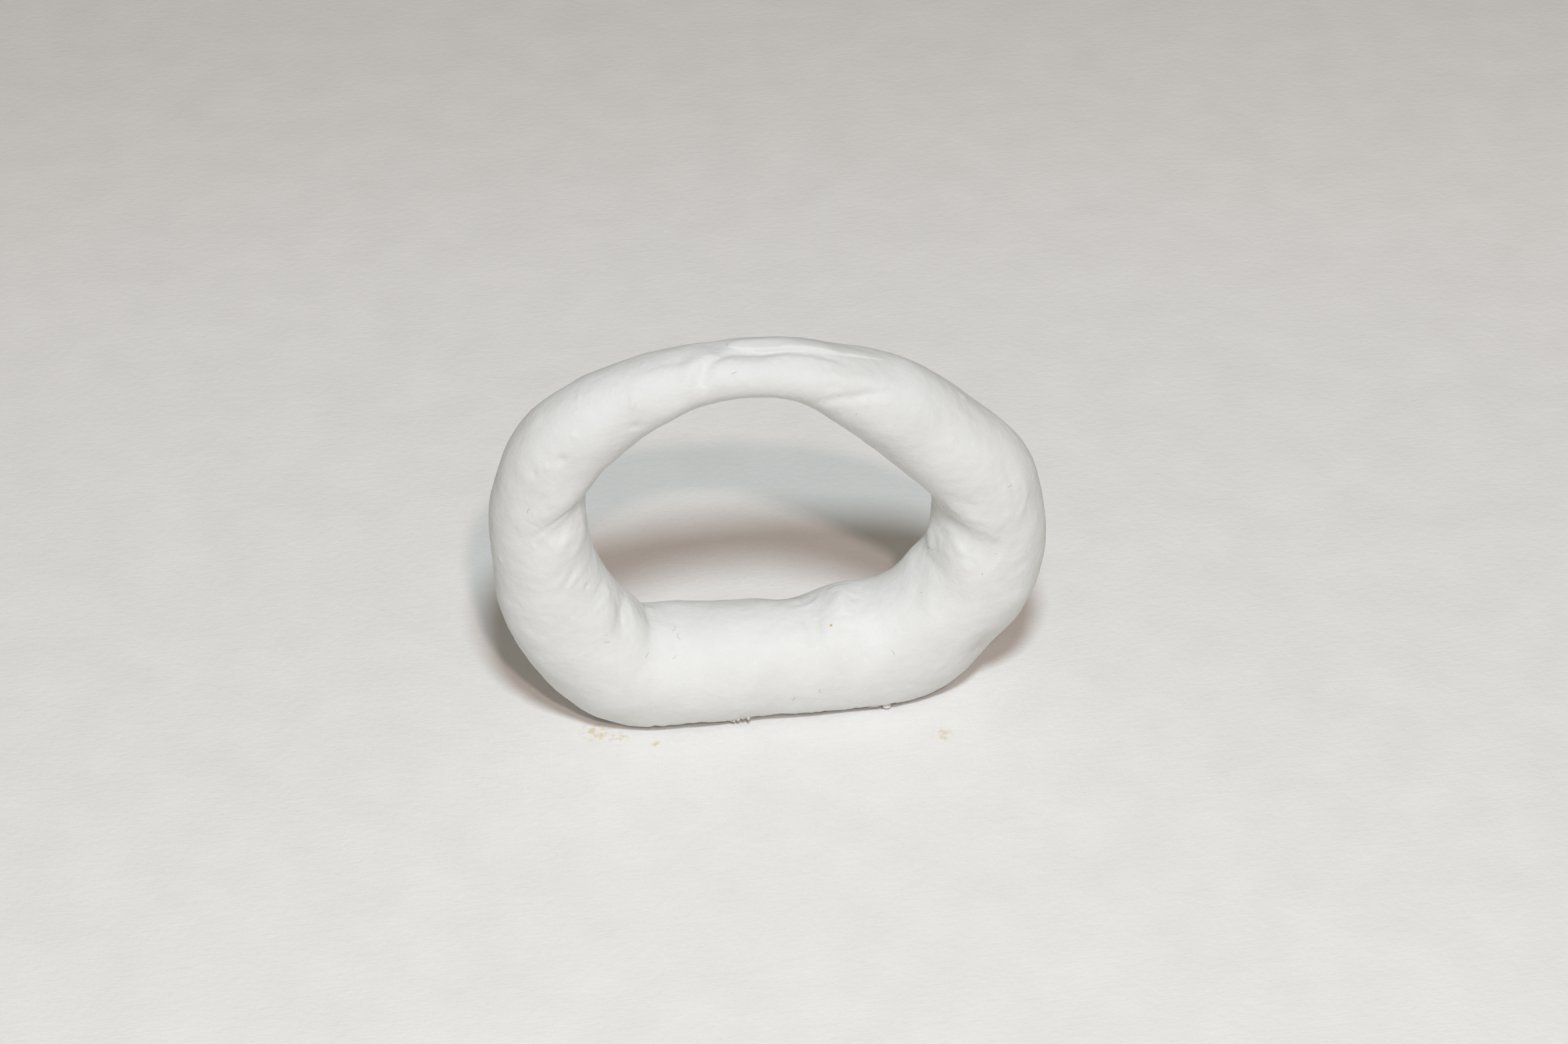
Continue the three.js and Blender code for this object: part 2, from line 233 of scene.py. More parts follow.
def closed_curve(points, at):
    """A centripetal Catmull-Rom loop through points, and its direction, at station numbers."""
    base = np.floor(at).astype(int)
    part = (at - base)[:, None]
    before, start, end, after = (points[(base + k) % len(points)] for k in (-1, 0, 1, 2))

    def root(a, b):
        return np.sum((b - a) ** 2, axis=1, keepdims=True) ** 0.25

    d0, d1, d2 = root(before, start), root(start, end), root(end, after)
    leave = ((start - before) / d0 - (end - before) / (d0 + d1) + (end - start) / d1) * d1
    reach = ((end - start) / d1 - (after - start) / (d1 + d2) + (after - end) / d2) * d1
    square = -3 * start + 3 * end - 2 * leave - reach
    cube = 2 * start - 2 * end + leave + reach
    place = start + leave * part + square * part ** 2 + cube * part ** 3
    return place, leave + 2 * square * part + 3 * cube * part ** 2


def smooth_step(value):
    value = np.clip(value, 0, 1)
    return value * value * (3 - 2 * value)


def noise(points, wavelength, seed):
    """Seeded gradient noise, about -1 to 1, at an array of points."""
    size = 32
    gradients = np.random.default_rng(seed).normal(size=(size, size, size, 3))
    gradients /= np.linalg.norm(gradients, axis=-1, keepdims=True)
    cell = np.floor(points / wavelength).astype(int)
    part = points / wavelength - cell
    blend = part ** 3 * (part * (part * 6 - 15) + 10)
    total = np.zeros(points.shape[:-1])
    for corner in np.ndindex(2, 2, 2):
        index = (cell + corner) % size
        gradient = gradients[index[..., 0], index[..., 1], index[..., 2]]
        weight = np.prod(np.where(corner, blend, 1 - blend), axis=-1)
        total += weight * np.sum(gradient * (part - corner), axis=-1)
    return 1.6 * total


def grid_normals(points):
    """Outward unit normals of a surface grid that closes on itself both ways."""
    along = np.roll(points, -1, axis=0) - np.roll(points, 1, axis=0)
    around = np.roll(points, -1, axis=1) - np.roll(points, 1, axis=1)
    normals = np.cross(along, around)
    return normals / np.maximum(np.linalg.norm(normals, axis=-1, keepdims=True), 1e-9)


def ring_stations():
    """Station numbers of the surface's rings, and the ring number at which each lump starts."""
    count = len(STATIONS)
    fine = np.linspace(0, count, 200 * count + 1)
    places = closed_curve(CENTRES, fine)[0]
    run = np.concatenate([[0], np.cumsum(np.linalg.norm(np.diff(places, axis=0), axis=1))])
    rings, starts, joins = [], [], np.cumsum([0] + [len(lump[3]) for lump in LUMPS])
    for first, last in zip(joins[:-1], joins[1:]):
        from_run, to_run = np.interp([first, last], fine, run)
        steps = max(4, round((to_run - from_run) / STEP))
        starts.append(sum(len(part) for part in rings))
        rings.append(np.interp(np.linspace(from_run, to_run, steps + 1)[:-1], run, fine))
    return np.concatenate(rings), starts, joins


STATIONS = np.array([station for lump in LUMPS for station in lump[3]])
CENTRES = np.stack(
    [STATIONS[:, 0] * RING_WIDTH, 0 * STATIONS[:, 0], STATIONS[:, 1] * RING_HEIGHT], axis=1)
HALVES = STATIONS[:, 2:] * BAR_THICKNESS / 2


def swept_surface(at, joins):
    """The ring's plain surface: points, centres, and how far each ring's base rim is from y = 0."""
    centre, along = closed_curve(CENTRES, at)
    along /= np.linalg.norm(along, axis=1, keepdims=True)
    out = np.stack([along[:, 2], 0 * at, -along[:, 0]], axis=1)
    halves = closed_curve(HALVES, at)[0]
    thick, deep = halves[:, 0], halves[:, 1]
    slants = np.array([lump[2] for lump in LUMPS] + [LUMPS[0][2]])
    lump = np.clip(np.searchsorted(joins, at, side="right") - 1, 0, len(LUMPS) - 1)
    part = smooth_step((at - joins[lump]) / np.diff(joins)[lump])
    slant = slants[lump] * (1 - part) + slants[lump + 1] * part
    lean = out + along * slant[:, None]

    # The section angle at which each ring meets the ground, opened out again past the base.
    drop = -centre[:, 2] / np.minimum(lean[:, 2], -1e-6)
    meets = (lean[:, 2] < 0) & (drop < thick)
    angle = np.arccos(np.clip(np.where(meets, drop / thick, 1), 0, 1) ** (SQUARENESS / 2))
    on_base = np.flatnonzero(meets)
    rings = np.arange(len(at))
    away = np.abs(rings[:, None] - on_base[None, :])
    away = np.minimum(away, len(at) - away).min(axis=1) * STEP
    opened = np.minimum(2 * np.pi * RIM_SHARE, RIM_NARROWEST + RIM_OPENING * away)
    rim = np.where(meets, np.maximum(angle, RIM_NARROWEST), opened)

    share = np.linspace(-0.5, 0.5, COLUMNS, endpoint=False)[None, :]
    size = np.abs(share)
    inner = size / RIM_SHARE * rim[:, None]
    outer = rim[:, None] + (size - RIM_SHARE) / (0.5 - RIM_SHARE) * (np.pi - rim[:, None])
    theta = np.sign(share) * np.where(size < RIM_SHARE, inner, outer)

    power = 2 / SQUARENESS
    outward = np.sign(np.cos(theta)) * np.abs(np.cos(theta)) ** power * thick[:, None]
    forward = np.sign(np.sin(theta)) * np.abs(np.sin(theta)) ** power * deep[:, None]
    points = centre[:, None] + outward[..., None] * lean[:, None]
    points[..., 1] -= forward
    for _ in range(round(2 * (FAIRING / STEP) ** 2)):
        points = (np.roll(points, 1, axis=0) + 2 * points + np.roll(points, -1, axis=0)) / 4
    edge = np.where(meets, np.sin(angle) ** power * deep, 0)
    return points, centre, edge


def press_groove(points):
    """Presses the thumb groove into the top, with a soft edge."""
    half = np.array(GROOVE_SIZE) / 2
    offset = (points - GROOVE_MIDDLE) / half
    inside = 1 - offset[..., 0] ** 2 - offset[..., 1] ** 2
    floor = GROOVE_MIDDLE[2] - half[2] * np.sqrt(np.maximum(inside, 0))
    gap = points[..., 2] - floor
    pressed = (gap + np.sqrt(gap ** 2 + GROOVE_SOFTNESS ** 2)) / 2 - GROOVE_SOFTNESS * GROOVE_SETTLE
    top = (points[..., 2] > CENTRES[:, 2].max() - 1) & (inside > 0)
    blend = smooth_step(inside * GROOVE_STEEPNESS)
    points[..., 2] -= np.where(top, np.maximum(pressed, 0) * blend, 0)


def rounded_line(points, rounds=3):
    """A line through points, with its corners cut off a few times."""
    line = np.array(points, float)
    for _ in range(rounds):
        near = 0.75 * line[:-1] + 0.25 * line[1:]
        far = 0.25 * line[:-1] + 0.75 * line[1:]
        middle = np.stack([near, far], axis=1).reshape(-1, 3)
        line = np.concatenate([line[:1], middle, line[-1:]])
    return line


def line_distance(points, line):
    """Distance from each point to a line, and how far along the line that is, 0 to 1."""
    best = np.full(points.shape[:-1], np.inf)
    share = np.zeros(points.shape[:-1])
    lengths = np.linalg.norm(np.diff(line, axis=0), axis=1)
    start = np.concatenate([[0], np.cumsum(lengths)])
    for index, length in enumerate(lengths):
        step = line[index + 1] - line[index]
        part = np.clip((points - line[index]) @ step / max(length, 1e-9) ** 2, 0, 1)
        gap = np.linalg.norm(points - line[index] - part[..., None] * step, axis=-1)
        nearer = gap < best
        best = np.where(nearer, gap, best)
        share = np.where(nearer, (start[index] + part * length) / start[-1], share)
    return best, share


def nearest(flat, place):
    """The surface point nearest to a place, as a row number."""
    return int(np.argmin(np.sum((flat - place) ** 2, axis=1)))


def mark_heights(points):
    """How far the creases, ridges, dents and bumps move the surface along its normals."""
    height = np.zeros(points.shape[:-1])
    flat = points.reshape(-1, 3)
    wobble = noise(points, MARK_WOBBLE[1], 31)
    for size, width, line in MARKS.values():
        line = rounded_line(line)
        line = np.array([flat[nearest(flat, p)] for p in line])
        reach = MARK_REACH * width
        near = np.all((points > line.min(0) - reach) & (points < line.max(0) + reach), -1)
        distance, share = line_distance(points[near], line)
        taper = np.sqrt(np.clip(4 * share * (1 - share), MARK_END, 1))
        ragged = width * (1 + MARK_WOBBLE[0] * wobble[near])
        shoulder = MARK_SHOULDER * np.exp(-(distance / ragged / 2) ** 2)
        profile = np.exp(-(distance / ragged) ** 2) - shoulder
        height[near] += size * taper * profile * MARK_GAIN
    for size, width, place in SPOTS:
        place = flat[nearest(flat, place)]
        distance = np.linalg.norm(points - place, axis=-1)
        height += size * np.exp(-(distance / width) ** 2)
    return height


def settle_base(points, edge):
    """Flattens the underside to the ground, with its rim lifted a little and torn."""
    inside = edge[:, None] - np.abs(points[..., 1])
    torn = np.ones(points.shape[:-1])
    for layer, (share, wavelength) in enumerate(RIM_TEARS):
        torn += share * noise(points, wavelength, 41 + layer)
    lift = RIM_LIFT * np.clip(torn, *RIM_TEAR_LIMITS) * (1 - smooth_step(inside / RIM_REACH))
    based = (edge > 0)[:, None]
    points[..., 2] = np.where(based, np.maximum(points[..., 2], lift), np.maximum(points[..., 2], 0))


def shaped_surface():
    """The finished ring surface, its normals, and the ring number where each lump starts."""
    at, starts, joins = ring_stations()
    points, centre, edge = swept_surface(at, joins)
    press_groove(points)
    normals = grid_normals(points)
    base = points.copy()
    height = mark_heights(base)
    for layer, (size, wavelength) in enumerate(SWELLS):
        height += size * noise(base, wavelength, layer + 1)
    points += normals * height[..., None]
    settle_base(points, edge)
    normals = grid_normals(points)
    fine = sum(size * noise(points, wavelength, 20 + layer)
               for layer, (size, wavelength) in enumerate(GRAIN))
    above = smooth_step(points[..., 2] / RIM_LIFT - 0.5)
    points += normals * (fine * above)[..., None]
    return points, grid_normals(points), centre, starts


# ---------------------------------------------------------------------------------- materials

def new_material(name):
    material = bpy.data.materials.new(name)
    material.use_nodes = True
    nodes = material.node_tree.nodes
    shader = nodes["Principled BSDF"]
    return material, nodes, material.node_tree.links, shader


def add_node(nodes, kind, **inputs):
    node = nodes.new(kind)
    for name, value in inputs.items():
        node.inputs[name.replace("_", " ")].default_value = value
    return node


def add_noise(nodes, links, where, wavelength, detail=3.0, rough=0.55):
    """Noise with the given wavelength in millimetres."""
    node = add_node(nodes, "ShaderNodeTexNoise", Scale=1 / (wavelength * MM), Detail=detail,
                    Roughness=rough)
    links.new(where, node.inputs["Vector"])
    return node.outputs["Fac"]


def add_ramp(nodes, links, source, stops):
    """A colour ramp over (position, colour) stops."""
    ramp = nodes.new("ShaderNodeValToRGB")
    elements = ramp.color_ramp.elements
    elements[0].position, elements[0].color = stops[0][0], (*stops[0][1], 1)
    elements[1].position, elements[1].color = stops[-1][0], (*stops[-1][1], 1)
    for position, color in stops[1:-1]:
        elements.new(position).color = (*color, 1)
    links.new(source, ramp.inputs["Fac"])
    return ramp.outputs["Color"]


def add_mix(nodes, links, factor, first, second, blend="MIX"):
    """A colour mix; each input is an output socket or a constant."""
    mix = nodes.new("ShaderNodeMix")
    mix.data_type = "RGBA"
    mix.blend_type = blend
    sockets = [s for s in mix.inputs if s.type == "RGBA"]
    for socket, value in zip([mix.inputs[0], *sockets], [factor, first, second]):
        if isinstance(value, bpy.types.NodeSocket):
            links.new(value, socket)
        else:
            socket.default_value = value if isinstance(value, float) else (*value, 1)
    return next(s for s in mix.outputs if s.type == "RGBA")


def add_math(nodes, links, operation, first, second=0.0):
    node = nodes.new("ShaderNodeMath")
    node.operation = operation
    for socket, value in zip(node.inputs, [first, second]):
        if isinstance(value, bpy.types.NodeSocket):
            links.new(value, socket)
        else:
            socket.default_value = value
    return node.outputs["Value"]


def add_bump(nodes, links, height, depth, normal=None, strength=1.0):
    """Bump whose full height is depth millimetres."""
    bump = add_node(nodes, "ShaderNodeBump", Strength=strength, Distance=depth * MM)
    links.new(height, bump.inputs["Height"])
    if normal is not None:
        links.new(normal, bump.inputs["Normal"])
    return bump.outputs["Normal"]


def grey(value):
    return (value, value, value)


PLASTER = (0.762, 0.770, 0.760)


def plaster_material():
    """White plaster: faint mottling, pale smears, painted shade towards the top, hair pits, dust
    specks and a dull soft gloss.
    """
    material, nodes, links, shader = new_material("plaster")
    where = nodes.new("ShaderNodeTexCoord").outputs["Object"]
    shade = tuple(c * f for c, f in zip(PLASTER, (0.955, 0.95, 0.94)))
    clouds = add_noise(nodes, links, where, 7.0)
    mottled = add_mix(nodes, links, add_ramp(nodes, links, clouds, [(0.35, grey(0)), (0.7, grey(1))]),
                      shade, PLASTER)
    smear = add_noise(nodes, links, where, 1.6, detail=5.0)
    streaked = add_mix(nodes, links,
                       add_ramp(nodes, links, smear, [(0.58, grey(0)), (0.72, grey(0.35))]),
                       mottled, tuple(c * 1.05 for c in PLASTER))

    # Painted shade: the plaster's colour is darkened towards the top of the ring, so the upper strand
    # is a little greyer than the bar.
    split = nodes.new("ShaderNodeSeparateXYZ")
    links.new(where, split.inputs["Vector"])
    painted_top_shade = add_ramp(nodes, links,
                      add_math(nodes, links, "MULTIPLY", split.outputs["Z"], 1 / (RING_HEIGHT * MM)),
                      [(0.25, grey(1)), (0.9, grey(0.92))])
    streaked = add_mix(nodes, links, 1.0, streaked, painted_top_shade, "MULTIPLY")

    # Dust: a few dark grains, one in a small share of the cells.
    cells = add_node(nodes, "ShaderNodeTexVoronoi", Scale=1 / (1.5 * MM))
    links.new(where, cells.inputs["Vector"])
    chosen = add_math(nodes, links, "GREATER_THAN",
                      add_math(nodes, links, "FRACT",
                               add_math(nodes, links, "MULTIPLY", cells.outputs["Color"], 7.31)),
                      0.955)
    grain = add_math(nodes, links, "LESS_THAN", cells.outputs["Distance"], 0.045)
    dust = add_math(nodes, links, "MULTIPLY", chosen, grain)
    dusted = add_mix(nodes, links, add_math(nodes, links, "MULTIPLY", dust, 0.32),
                     streaked, (0.34, 0.27, 0.20))
    links.new(dusted, shader.inputs["Base Color"])

    patches = add_noise(nodes, links, where, 3.0)
    links.new(add_ramp(nodes, links, patches, [(0.3, grey(0.54)), (0.7, grey(0.76))]),
              shader.inputs["Roughness"])
    shader.inputs["Specular IOR Level"].default_value = 0.32

    # Skin from coarse to fine: finger marks, powder, and open hair pits.
    finger = add_bump(nodes, links, add_noise(nodes, links, where, 1.3, detail=4.0), 0.10)
    powder = add_bump(nodes, links, add_noise(nodes, links, where, 0.32, detail=3.0), 0.022, finger)
    pits = add_node(nodes, "ShaderNodeTexVoronoi", Scale=1 / (0.9 * MM))
    links.new(where, pits.inputs["Vector"])
    open_pit = add_ramp(nodes, links, pits.outputs["Distance"], [(0.05, grey(0)), (0.16, grey(1))])
    rare = add_noise(nodes, links, where, 5.0, detail=1.0)
    depth = add_mix(nodes, links,
                    add_ramp(nodes, links, rare, [(0.56, grey(1)), (0.68, grey(0))]),
                    open_pit, grey(1.0))
    links.new(add_bump(nodes, links, depth, 0.02, powder), shader.inputs["Normal"])
    return material


def skin_material():
    """Thin torn plaster skin, slightly yellowed, that lets some light through."""
    material, nodes, links, shader = new_material("plaster_skin")
    where = nodes.new("ShaderNodeTexCoord").outputs["Object"]
    clouds = add_noise(nodes, links, where, 0.8)
    links.new(add_ramp(nodes, links, clouds,
                       [(0.35, (0.66, 0.62, 0.53)), (0.65, (0.80, 0.785, 0.74))]),
              shader.inputs["Base Color"])
    shader.inputs["Roughness"].default_value = 0.7
    shader.inputs["Subsurface Weight"].default_value = 0.4
    shader.inputs["Subsurface Radius"].default_value = (0.0005, 0.0004, 0.0003)
    shader.inputs["Subsurface Scale"].default_value = 1.0
    grain = add_noise(nodes, links, where, 0.15)
    links.new(add_bump(nodes, links, grain, 0.02), shader.inputs["Normal"])
    return material


def crumb_material(name, dark, light):
    """A grain or hair with uneven colour."""
    material, nodes, links, shader = new_material(name)
    where = nodes.new("ShaderNodeTexCoord").outputs["Object"]
    clouds = add_noise(nodes, links, where, 0.3)
    links.new(add_ramp(nodes, links, clouds, [(0.35, dark), (0.65, light)]),
              shader.inputs["Base Color"])
    shader.inputs["Roughness"].default_value = 0.8
    links.new(add_bump(nodes, links, add_noise(nodes, links, where, 0.08), 0.01),
              shader.inputs["Normal"])
    return material


# Stains on the cloth: across and along in millimetres, and radius. The depth over which the painted
# shade on the cloth grades is metres.
STAINS = [(-23.5, -5.2, 2.5), (-16.2, -8.6, 1.0), (-20.8, -6.8, 1.6), (20.0, -12.5, 1.6)]
PAINTED_SHADE_DEPTH = 0.18


def cloth_material():
    """Pale paper-like cloth with a fine weave, slubs, a few faint ochre stains, and painted shade
    towards the back.
    """
    material, nodes, links, shader = new_material("pale_cloth")
    where = nodes.new("ShaderNodeTexCoord").outputs["Object"]
    threads = []
    for stretch in [(1.0, 0.1, 1.0), (0.1, 1.0, 1.0)]:
        thread = add_node(nodes, "ShaderNodeMapping", Scale=stretch)
        links.new(where, thread.inputs["Vector"])
        threads.append(add_noise(nodes, links, thread.outputs["Vector"], 0.35, detail=2.0))
    weave = add_math(nodes, links, "ADD", *threads)
    fibre = add_noise(nodes, links, where, 1.1, detail=6.0, rough=0.65)
    bump = add_bump(nodes, links, weave, 0.03)
    links.new(add_bump(nodes, links, fibre, 0.10, bump), shader.inputs["Normal"])
    clouds = add_noise(nodes, links, where, 9.0, detail=4.0)
    cloth = add_ramp(nodes, links, clouds,
                     [(0.3, (0.79, 0.78, 0.765)), (0.7, (0.83, 0.82, 0.805))])

    # Faint ochre stains in front of the ring, soaked into the weave.
    soak = add_ramp(nodes, links, add_noise(nodes, links, where, 0.9, detail=5.0),
                    [(0.46, grey(0)), (0.60, grey(0.7))])
    for across, along, size in STAINS:
        gap = nodes.new("ShaderNodeVectorMath")
        gap.operation = "DISTANCE"
        gap.inputs[1].default_value = (across * MM, along * MM, 0)
        links.new(where, gap.inputs[0])
        near = add_ramp(nodes, links,
                        add_math(nodes, links, "MULTIPLY", gap.outputs["Value"], 1 / (size * MM)),
                        [(0.3, grey(1)), (1.0, grey(0))])
        cloth = add_mix(nodes, links, add_math(nodes, links, "MULTIPLY", near, soak),
                        cloth, (0.66, 0.52, 0.28))

    # Painted shade: the cloth's colour is darkened towards the back, where the light falls off.
    split = nodes.new("ShaderNodeSeparateXYZ")
    links.new(where, split.inputs["Vector"])
    far = add_ramp(nodes, links,
                   add_math(nodes, links, "MULTIPLY", split.outputs["Y"], 1 / PAINTED_SHADE_DEPTH),
                   [(0.55, grey(1)), (1.0, grey(0.92))])
    links.new(add_mix(nodes, links, 1.0, cloth, far, "MULTIPLY"), shader.inputs["Base Color"])
    shader.inputs["Roughness"].default_value = 0.9
    shader.inputs["Specular IOR Level"].default_value = 0.2
    return material


# ------------------------------------------------------------------------------------- pieces

def add_mesh(name, points, faces, material, normals=None):
    """A smooth mesh object from points in millimetres."""
    mesh = bpy.data.meshes.new(name)
    mesh.from_pydata((np.asarray(points) * MM).tolist(), [], faces)
    mesh.materials.append(material)
    mesh.shade_smooth()
    if normals is not None:
        mesh.normals_split_custom_set_from_vertices(np.asarray(normals).tolist())
    piece = bpy.data.objects.new(name, mesh)
    bpy.context.scene.collection.objects.link(piece)
    return piece


def claim(piece, slot, *nodes):
    """The piece rides on the ring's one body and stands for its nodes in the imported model."""
    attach(piece, "root")
    if nodes:
        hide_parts(*nodes)


def tube_faces(points, rings, sides):
    """Outward faces of a tube of rings, closed at each end round the two points that follow."""
    faces = []
    for ring in range(rings - 1):
        for side in range(sides):
            a = ring * sides + side
            b = ring * sides + (side + 1) % sides
            faces.append((a, a + sides, b + sides, b))
    first, last = rings * sides, rings * sides + 1
    end = (rings - 1) * sides
    for side in range(sides):
        after = (side + 1) % sides
        faces.append((side, after, first))
        faces.append((end + after, end + side, last))
    corners = np.array([(*face[:3], face[-1]) for face in faces])
    a, b, c, d = (np.asarray(points)[corners[:, k]] for k in range(4))
    volume = np.sum(a * np.cross(b, c)) + np.sum(a * np.cross(c, d))
    return faces if volume > 0 else [face[::-1] for face in faces]


def ring_piece(name, slot, material, surface, normals, centre, first, last):
    """One closed lump: the rings from first to last of the whole surface, capped at both ends."""
    rows = np.arange(first, last + 1) % len(surface)
    ends = centre[rows[[0, -1]]]
    points = np.concatenate([surface[rows].reshape(-1, 3), ends])
    direction = ends[1] - ends[0]
    direction /= np.linalg.norm(direction)
    facing = np.concatenate([normals[rows].reshape(-1, 3), [-direction, direction]])
    faces = tube_faces(points, len(rows), COLUMNS)
    piece = add_mesh(name + "_plaster", points, faces, material, facing)
    claim(piece, slot, name)


def swept_piece(name, material, rings):
    """A closed tube through rings of points, each an array of the same length."""
    ends = [rings[0].mean(axis=0), rings[-1].mean(axis=0)]
    points = np.concatenate([*rings, ends])
    return add_mesh(name, points, tube_faces(points, len(rings), len(rings[0])), material)


def line_directions(line):
    """Unit directions along a line's points."""
    along = np.gradient(line, axis=0)
    return along / np.maximum(np.linalg.norm(along, axis=1, keepdims=True), 1e-9)


def lap_lip(material, surface, normals, centre):
    """The thin lapped lip along the back of the groove, laid over the bridge's own surface."""
    top = centre[:, 2] > 0.5 * RING_HEIGHT
    covered = np.flatnonzero(top & (centre[:, 0] > LIP_SPAN[0]) & (centre[:, 0] < LIP_SPAN[1]))
    share = np.linspace(0, 1, LIP_POINTS)
    fall = smooth_step((share - LIP_CREST) / (1 - LIP_CREST))
    profile = smooth_step(share / LIP_RISE) * (1 - fall)
    fronts = np.array(LIP_FRONT)
    rings = []
    for row in covered:
        x = centre[row, 0]
        part = (x - LIP_SPAN[0]) / (LIP_SPAN[1] - LIP_SPAN[0])
        swell = np.sin(np.pi * part ** LIP_LEAN) ** LIP_FULLNESS
        upper = np.flatnonzero(surface[row, :, 2] > centre[row, 2])
        upper = upper[np.argsort(surface[row, upper, 1])]
        along_y = surface[row, upper, 1]
        middle = 0.5 * (LIP_BACK + np.interp(x, fronts[:, 0], fronts[:, 1]))
        half = (LIP_BACK - middle) * (LIP_NARROWEST + (1 - LIP_NARROWEST) * swell)
        places = middle + half * (2 * share - 1)
        base, facing = (np.stack([np.interp(places, along_y, grid[row, upper, axis])
                                  for axis in range(3)], axis=1) for grid in (surface, normals))
        wave = 1 + LIP_WAVE[0] * noise(base, LIP_WAVE[1], 51)
        height = (LIP_HEIGHT * swell * profile * wave - LIP_SINK)[:, None]
        rings.append(np.concatenate([base + facing * height, (base - facing * LIP_ROOT)[::-1]]))
    piece = swept_piece("lap_lip_plaster", material, rings)
    claim(piece, "plaster_bridge", "top_lap_lip")


# A small lump: how many rings and sides it has, how near its poles the end rings are, and the
# wavelength of its unevenness.
BLOB_RINGS = 22
BLOB_SIDES = 32
BLOB_POLE = 0.08
BLOB_WAVELENGTH = 0.9


def blob(name, material, middle, radii, rough, seed):
    """A small uneven lump."""
    rings = []
    turn = np.linspace(0, 2 * np.pi, BLOB_SIDES, endpoint=False)
    for polar in np.linspace(BLOB_POLE, np.pi - BLOB_POLE, BLOB_RINGS):
        ring = np.stack([np.sin(polar) * np.cos(turn), np.sin(polar) * np.sin(turn),
                         np.full(BLOB_SIDES, -np.cos(polar))], axis=1)
        ring *= (1 + rough * noise(ring, BLOB_WAVELENGTH, seed))[:, None] * np.array(radii)
        rings.append(ring + middle)
    return swept_piece(name, material, rings)


def front_rim(surface):
    """The rim of the flat base along its front, from left to right."""
    column = round((0.5 + RIM_SHARE) * COLUMNS)
    line = surface[:, column]
    line = line[(line[:, 2] < 2 * RIM_LIFT) & (line[:, 1] < 0)]
    return line[np.argsort(line[:, 0])]


def rim_point(rim, across):
    """The front rim's point at a place across the ring."""
    return np.array([np.interp(across, rim[:, 0], rim[:, axis]) for axis in range(3)])


# The skin along the front rim, in millimetres: the distance between its rings, its plain and
# least widths, how far it is rooted behind the rim, and its thickness there. Its wider patches
# each have a place across the ring and a spread, and add FLASH_PATCH_WIDTH in their middles.
# FLASH_RAG sets how much the edge is torn.
FLASH_STEP = 0.10
FLASH_WIDTH = 0.14
FLASH_NARROWEST = 0.02
FLASH_ROOT = 0.55
FLASH_THICKNESS = 0.14
FLASH_PATCHES = [(-4.8, 2.0), (14.2, 2.6)]
FLASH_PATCH_WIDTH = 0.75
FLASH_RAG = 0.40


def base_flash(material, rim):
    """Ragged skin squeezed out along the front rim of the base."""
    low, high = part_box("base_flash_lip")
    places = np.arange(low.x / MM, high.x / MM, FLASH_STEP)
    part = np.linspace(0, 1, len(places))
    track = np.stack([places, 0 * places, 0 * places], axis=1)
    patches = sum(np.exp(-((places - middle) / spread) ** 2) for middle, spread in FLASH_PATCHES)
    ragged = noise(track, 0.9, 61) + 0.6 * noise(track, 0.35, 62)
    width = FLASH_WIDTH + FLASH_PATCH_WIDTH * patches + FLASH_RAG * (0.25 + patches) * ragged
    ends = np.sin(np.pi * np.clip(part, 0.004, 0.996)) ** 0.3
    width = np.maximum(width, FLASH_NARROWEST) * ends
    rings = []
    for x, wide in zip(places, width):
        edge = rim_point(rim, x)

        # The section, as places forward of the rim and above it.
        profile = [(-FLASH_ROOT, 0.00), (wide * 0.6, -0.05), (wide, -0.08 - 0.3 * wide),
                   (wide * 0.8, 0.0), (-0.15, 0.12), (-FLASH_ROOT, FLASH_THICKNESS)]
        rings.append(np.array([edge + (0, -forward, height) for forward, height in profile]))
    piece = swept_piece("base_flash_skin", material, rings)
    claim(piece, "plaster_flash", "base_flash_lip")


# The scrap that hangs from the rim, in millimetres: half widths at its root and tip, half
# thickness, where its root is from the rim, how far its tip is from its root, and how ragged its
# sides are, as size and wavelength.
TOOTH_HALF_WIDTHS = (0.85, 0.35)
TOOTH_HALF_THICKNESS = 0.11
TOOTH_ROOT = np.array([0.0, 0.05, 0.12])
TOOTH_REACH = np.array([0.10, -0.60, -0.85])
TOOTH_RAG = (0.18, 0.35)
TOOTH_RINGS = 14
TOOTH_SIDES = 24


def torn_tooth(material, rim):
    """A scrap of skin hanging from the rim nearly to the ground."""
    low, high = (np.array(corner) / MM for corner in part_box("flash_tooth"))
    edge = rim_point(rim, (low[0] + high[0]) / 2)
    root_half, tip_half = TOOTH_HALF_WIDTHS
    turn = np.linspace(0, 2 * np.pi, TOOTH_SIDES, endpoint=False)
    rings = []
    for part in np.linspace(0, 1, TOOTH_RINGS):
        wide = root_half + (tip_half - root_half) * part
        ring = np.stack([np.cos(turn) * wide, np.sin(turn) * TOOTH_HALF_THICKNESS, 0 * turn], axis=1)
        ring += edge + (TOOTH_ROOT + TOOTH_REACH * part)
        ring[:, 0] += TOOTH_RAG[0] * noise(ring, TOOTH_RAG[1], 71)
        rings.append(ring)
    claim(swept_piece("flash_tooth_skin", material, rings[::-1]), "plaster_flash", "flash_tooth")


# The curled shaving, in millimetres: the angles that it sweeps in radians, its radius at angle 0
# and how much that grows per radian, its half width at angle 0 and the share of it lost per
# radian, its inner and outer faces, its middle from the rim, and how ragged it is, as size and
# wavelength.
CURL_SWEEP = (-1.9, 1.1)
CURL_RADIUS = 0.40
CURL_UNROLLING = 0.05
CURL_HALF_WIDTH = 0.26
CURL_TAPER = 0.25
CURL_INNER = -0.04
CURL_OUTER = 0.05
CURL_MIDDLE = (0, -0.15, 0.15)
CURL_RAG = (0.06, 0.4)
CURL_RINGS = 30


